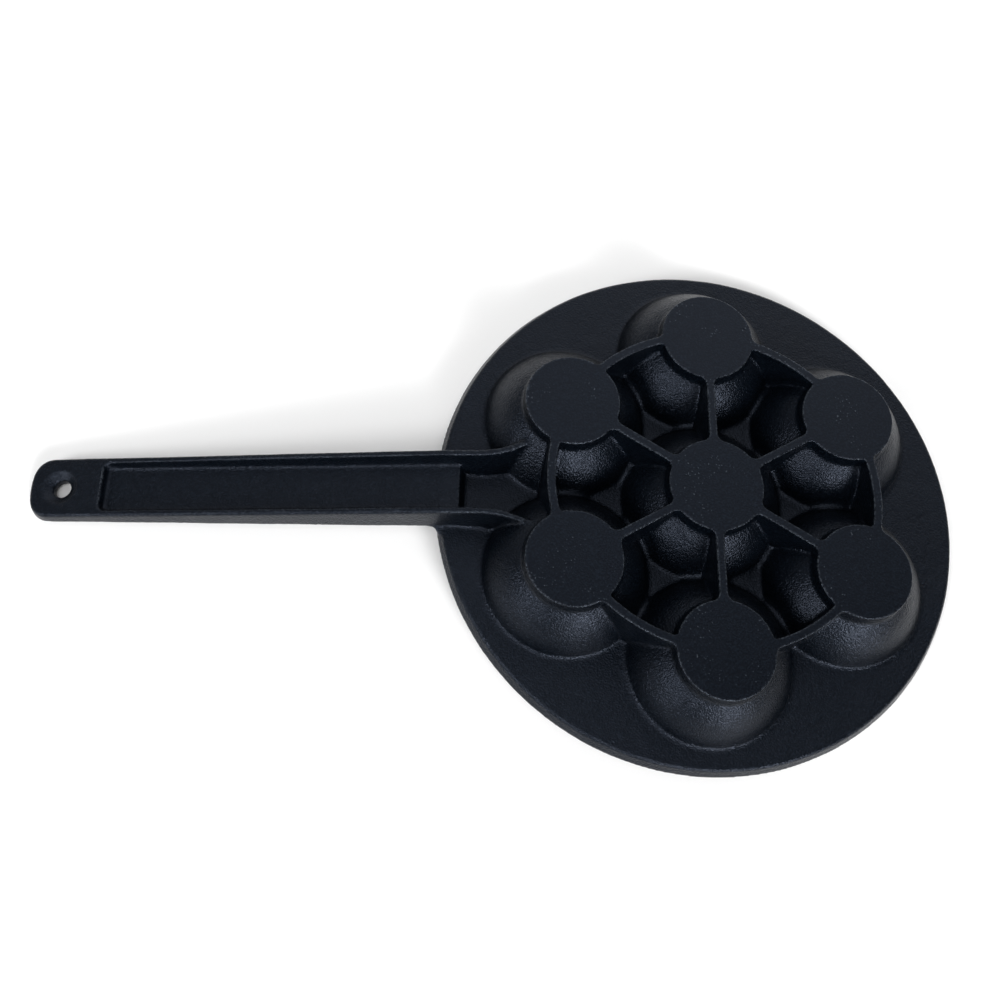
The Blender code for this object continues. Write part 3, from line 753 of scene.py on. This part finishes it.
def seasoned_iron(name, roughness, grain_height, speckled):
    """Seasoned iron over grain of a height in millimetres, with or without bright specks."""
    material = bpy.data.materials.new(name)
    material.use_nodes = True
    tree = material.node_tree
    shader = tree.nodes["Principled BSDF"]
    shader.inputs["Specular IOR Level"].default_value = IRON_GLOSS
    shader.inputs["Specular Tint"].default_value = hex_colour(IRON_GLOSS_TINT)
    place = add_node(tree, "ShaderNodeTexCoord").outputs["Object"]
    grain, lumps = (
        add_node(
            tree,
            "ShaderNodeTexNoise",
            {"Vector": place, "Scale": 1 / (width * MM), "Detail": detail},
        ).outputs["Fac"]
        for width, detail in ((GRAIN_WIDTH, GRAIN_DETAIL), (LUMP_WIDTH, LUMP_DETAIL))
    )
    cell = add_node(tree, "ShaderNodeTexVoronoi", {"Vector": place, "Scale": 1 / (PIT_SPACING * MM)}).outputs
    hollow = add_node(
        tree,
        "ShaderNodeMapRange",
        {"Value": cell["Distance"], "From Min": PIT_SLOPE[0], "From Max": PIT_SLOPE[1]},
    )
    draw = add_node(tree, "ShaderNodeSeparateXYZ", {"Vector": cell["Color"]}).outputs["X"]
    chosen = add_node(tree, "ShaderNodeMath", {0: draw, 1: PIT_DRAW}, operation="GREATER_THAN")
    pit = add_node(tree, "ShaderNodeMath", {0: hollow.outputs[0], 1: chosen.outputs[0]}, operation="MULTIPLY")
    sand = add_node(tree, "ShaderNodeMath", {0: lumps, 1: LUMP_SHARE, 2: grain}, operation="MULTIPLY_ADD")
    relief = add_node(
        tree,
        "ShaderNodeMath",
        {0: pit.outputs[0], 1: -PIT_DEPTH, 2: sand.outputs[0]},
        operation="MULTIPLY_ADD",
    )
    bump = add_node(
        tree,
        "ShaderNodeBump",
        {"Height": relief.outputs[0], "Distance": grain_height * MM, "Strength": 1.0},
    )
    tree.links.new(bump.outputs["Normal"], shader.inputs["Normal"])
    matt = add_node(
        tree,
        "ShaderNodeMapRange",
        {
            "Value": lumps,
            "From Min": MATT_LUMPS[0],
            "From Max": MATT_LUMPS[1],
            "To Min": roughness,
            "To Max": roughness + MATT_SPREAD,
        },
    )
    tree.links.new(matt.outputs["Result"], shader.inputs["Roughness"])
    convex = add_node(tree, "ShaderNodeAttribute", attribute_name="rounding").outputs["Fac"]
    corner = add_node(
        tree,
        "ShaderNodeMapRange",
        {"Value": convex, "From Min": WORN_ROUNDING[0], "From Max": WORN_ROUNDING[1], "To Max": WORN_MOST},
    )
    broken = add_node(
        tree,
        "ShaderNodeMapRange",
        {"Value": grain, "From Min": WORN_GRAIN[0], "From Max": WORN_GRAIN[1]},
    )
    worn = add_node(
        tree,
        "ShaderNodeMath",
        {0: corner.outputs[0], 1: broken.outputs[0]},
        operation="MULTIPLY",
    ).outputs[0]
    if speckled:
        dots, patches = (
            add_node(
                tree,
                "ShaderNodeTexNoise",
                {"Vector": place, "Scale": 1 / (width * MM), "Detail": 0.0},
            ).outputs["Fac"]
            for width in (SPECK_WIDTH, PATCH_WIDTH)
        )
        dot, patch = (
            add_node(
                tree,
                "ShaderNodeMapRange",
                {"Value": spots, "From Min": levels[0], "From Max": levels[1]},
            ).outputs[0]
            for spots, levels in ((dots, SPECK_LEVELS), (patches, PATCH_LEVELS))
        )
        speck = add_node(tree, "ShaderNodeMath", {0: dot, 1: patch}, operation="MULTIPLY").outputs[0]
        worn = add_node(tree, "ShaderNodeMath", {0: worn, 1: speck}, operation="MAXIMUM").outputs[0]
    tree.links.new(worn, shader.inputs["Metallic"])
    dry = add_node(
        tree,
        "ShaderNodeMapRange",
        {"Value": grain, "From Min": DRY_GRAIN[0], "From Max": DRY_GRAIN[1]},
    )
    film = add_node(
        tree,
        "ShaderNodeMix",
        {"Factor": dry.outputs[0], 6: hex_colour(SEASONED_COLOUR), 7: hex_colour(DRY_COLOUR)},
        data_type="RGBA",
    )
    shade = add_node(
        tree,
        "ShaderNodeMix",
        {"Factor": worn, 6: film.outputs[2], 7: hex_colour(WORN_COLOUR)},
        data_type="RGBA",
    )
    tree.links.new(shade.outputs[2], shader.inputs["Base Color"])
    return material


cast_iron = seasoned_iron("seasoned_cast_iron", CAST_ROUGHNESS, CAST_GRAIN_HEIGHT, False)
ground_iron = seasoned_iron("seasoned_ground_iron", GROUND_ROUGHNESS, GROUND_GRAIN_HEIGHT, True)

# The casting's parts
# The pan is one piece of iron. It is named part by part here, cut apart along the lines where a foundry
# pattern is built up, so that the skin runs on from one to the next without a seam.

SEAM_FILLET = 0.6  # a seam on a fillet lies this far from the neighbour's surface
STEP_SEAM_REACH = 1.0  # from the step's foot to its seam with the plate

remaining = triangles  # what no part has taken yet
lying_turn = np.array(lying.to_3x3())


def take_part(name, field):
    """Makes a piece of what lies where the field is positive, and leaves the rest."""
    global vertices, remaining
    vertices, remaining, taken = divide(vertices, remaining, field(*vertices[:, PLACE].T))
    used, faces = np.unique(remaining[taken], return_inverse=True)
    faces = faces.reshape(-1, 3)
    remaining = remaining[~taken]
    rows = vertices[used]
    mesh = bpy.data.meshes.new(name)
    mesh.vertices.add(len(used))
    mesh.vertices.foreach_set("co", (rows[:, PLACE] * MM @ lying_turn.T + np.array(origin)).ravel())
    mesh.loops.add(faces.size)
    mesh.loops.foreach_set("vertex_index", faces.ravel())
    mesh.polygons.add(len(faces))
    mesh.polygons.foreach_set("loop_start", np.arange(len(faces)) * 3)
    on_top = (rows[:, 2] >= GROUND_HEIGHT - SAME_POINT)[faces].all(axis=1)
    mesh.materials.append(cast_iron)
    if on_top.any():
        mesh.materials.append(ground_iron)
        mesh.polygons.foreach_set("material_index", on_top.astype(int))
    mesh.update(calc_edges=True)
    mesh.attributes.new("rounding", "FLOAT", "POINT").data.foreach_set("value", rows[:, ROUNDING])
    mesh.normals_split_custom_set_from_vertices(rows[:, FACING] @ lying_turn.T)
    piece = bpy.data.objects.new(name + "_skin", mesh)
    scene.collection.objects.link(piece)
    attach(piece, "root")
    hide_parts(name)


def well_distance(x, y):
    """Distance in the plan from the nearest well's axis."""
    return np.min([np.hypot(x - place[0], y - place[1]) for place in well_places], axis=0)


def off_wells(x, y, z):
    """Positive outside the wells' domes and bosses."""
    distance = well_distance(x, y)
    dome = np.hypot(distance, z - DOME_CENTRE_HEIGHT) - DOME_RADIUS - SEAM_FILLET
    return np.minimum(dome, distance - BOSS_FOOT_RADIUS)


def off_recess(x, y, z):
    """Positive on the handle's end, beyond the recess and its end wall."""
    return tip + RECESS_FROM_TIP - RECESS_RAIL - x


def off_plate(x, y, z):
    """Positive beyond the plate's rim."""
    return np.hypot(x, y) - rim - SEAM_FILLET


def in_rail(side, x, y, z):
    """Positive in a root rail over the plate."""
    outer = rail_side(x)
    drop = rail_height(x) - z
    low = side * y - (outer - RECESS_RAIL - drop * RECESS_DRAFT - SEAM_FILLET)
    high = outer + drop * HANDLE_DRAFT + 2 * SEAM_FILLET - side * y
    ends = np.minimum(off_wells(x, y, z), RAIL_REACH - PLATE_RADIUS - x)
    return np.min([low, high, ends, z - SEAM_FILLET], axis=0)


def in_step(x, y, z):
    """Positive in the step between the root rails."""
    end = step_end + STEP_SEAM_REACH - x
    return np.min([end, HANDLE_ROOT_WIDTH / 2 - np.abs(y), z - SEAM_FILLET], axis=0)


def in_rib(lateral, x, y, z):
    """Positive in a rib, given the distance from its middle line."""
    spread = np.maximum(0, BOSS_RADIUS + SPOKE_FILLET - well_distance(x, y))
    inside = RIB_FOOT_WIDTH / 2 + 2 * SEAM_FILLET + spread - np.abs(lateral)
    return np.min([inside, off_wells(x, y, z), z - SEAM_FILLET], axis=0)


def in_spoke(angle, x, y, z):
    """Positive in the rib that runs out from the middle well at an angle."""
    outward_x = x * math.cos(angle) + y * math.sin(angle)
    lateral = y * math.cos(angle) - x * math.sin(angle)
    return np.minimum(in_rib(lateral, x, y, z), np.minimum(outward_x, WELL_PITCH - outward_x))


def in_ring(angle, x, y, z):
    """Positive in the rib that runs on round the ring from the outer well at an angle."""
    turn = (np.arctan2(y, x) - angle) % math.tau
    between = np.minimum(turn, math.tau / OUTER_WELL_COUNT - turn) * WELL_PITCH
    return np.minimum(in_rib(np.hypot(x, y) - WELL_PITCH, x, y, z), between)


def in_well(place, x, y, z):
    """Positive in a well, out to its foot on the plate and to the saddles between the wells."""
    others = [other for other in well_places if other != place]
    own = np.hypot(x - place[0], y - place[1])
    nearest_other = np.min([np.hypot(x - other[0], y - other[1]) for other in others], axis=0)
    edge = foot_radius + (NECK_RADIUS - foot_radius) * np.clip(-z / PLATE_THICKNESS, 0, 1)
    return np.minimum(edge - own, nearest_other - own)


take_part("handle_end", off_recess)
take_part("handle_shank", off_plate)
for number, side in ((1, 1), (2, -1)):
    take_part(f"root_rail_{number}", lambda x, y, z: in_rail(side, x, y, z))
take_part("handle_root", in_step)
for number, angle in enumerate(well_angles, 1):
    take_part(f"spoke_rib_{number}", lambda x, y, z: in_spoke(angle, x, y, z))
for number, angle in enumerate(well_angles, 1):
    take_part(f"ring_rib_{number}", lambda x, y, z: in_ring(angle, x, y, z))
for number, place in enumerate(well_places):
    name = f"outer_well_{number}" if number else "centre_well"
    take_part(name, lambda x, y, z: in_well(place, x, y, z))
take_part("griddle_plate", lambda x, y, z: np.ones_like(x))
